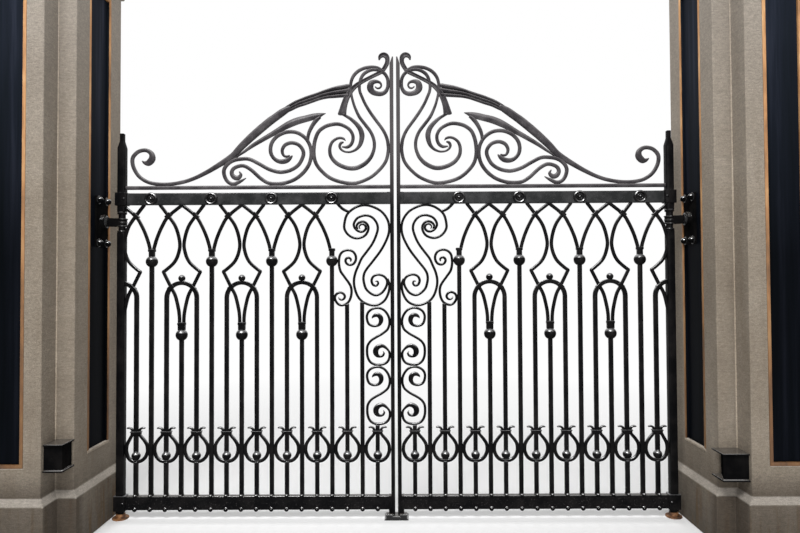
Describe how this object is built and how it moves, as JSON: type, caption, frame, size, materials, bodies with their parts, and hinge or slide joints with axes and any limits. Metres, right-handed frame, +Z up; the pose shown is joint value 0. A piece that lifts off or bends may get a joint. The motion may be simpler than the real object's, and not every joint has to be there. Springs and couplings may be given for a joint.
{
  "type": "wrought iron driveway gate",
  "caption": "Pair of wrought iron driveway gates with scrolled cresting that rises to the meeting stiles, hung between two stuccoed masonry piers.",
  "frame": {"origin": "centre of the left pier's foot, on the ground", "axes": "+X from the left pier to the right pier, seen from the street; +Y from the street towards the garden, the side that both leaves open to; +Z up"},
  "size_m": [5.25, 0.957, 3.73],
  "materials": {
    "gate_iron": "hammered, semi-gloss black",
    "bracket_iron": "satin black, weathered",
    "rusty_iron": "rusty",
    "stucco": "rough sanded render",
    "dark_panel": "dark polished stone"
  },
  "bodies": {
    "masonry": {"left_pier": "stucco", "left_pier_cap": "stucco", "left_pier_panels": "dark_panel", "left_hinge_bracket": "bracket_iron", "left_pivot_socket": "rusty_iron", "left_corner_box": "bracket_iron", "right_pier": "stucco", "right_pier_cap": "stucco", "right_pier_panels": "dark_panel", "right_hinge_bracket": "bracket_iron", "right_pivot_socket": "rusty_iron", "right_corner_box": "bracket_iron", "ground_stop": "bracket_iron"},
    "left_leaf": {"left_hinge_stile": "gate_iron", "left_meeting_stile": "gate_iron", "left_bottom_rail": "gate_iron", "left_top_rail": "gate_iron", "left_thin_rail": "gate_iron", "left_rosettes": "gate_iron", "left_long_pickets": "gate_iron", "left_drop_pickets": "gate_iron", "left_short_pickets": "gate_iron", "left_tracery": "gate_iron", "left_lyres": "gate_iron", "left_s_scrolls": "gate_iron", "left_heart_scroll": "gate_iron", "left_side_scroll": "gate_iron", "left_swan_neck": "gate_iron", "left_crest_scrolls": "gate_iron", "left_crest_lyre": "gate_iron"},
    "right_leaf": {"right_hinge_stile": "gate_iron", "right_meeting_stile": "gate_iron", "right_bottom_rail": "gate_iron", "right_top_rail": "gate_iron", "right_thin_rail": "gate_iron", "right_rosettes": "gate_iron", "right_long_pickets": "gate_iron", "right_drop_pickets": "gate_iron", "right_short_pickets": "gate_iron", "right_tracery": "gate_iron", "right_lyres": "gate_iron", "right_s_scrolls": "gate_iron", "right_heart_scroll": "gate_iron", "right_side_scroll": "gate_iron", "right_swan_neck": "gate_iron", "right_crest_scrolls": "gate_iron", "right_crest_lyre": "gate_iron"}
  },
  "joints": [
    {"name": "left_leaf_hinge", "type": "hinge", "parent": "masonry", "child": "left_leaf", "pos_m": [0.427, 0.1085, 0], "axis": [0, 0, 1], "range_deg": [0, 90]},
    {"name": "right_leaf_hinge", "type": "hinge", "parent": "masonry", "child": "right_leaf", "pos_m": [4.073, 0.1085, 0], "axis": [0, 0, -1], "range_deg": [0, 90]}
  ]
}
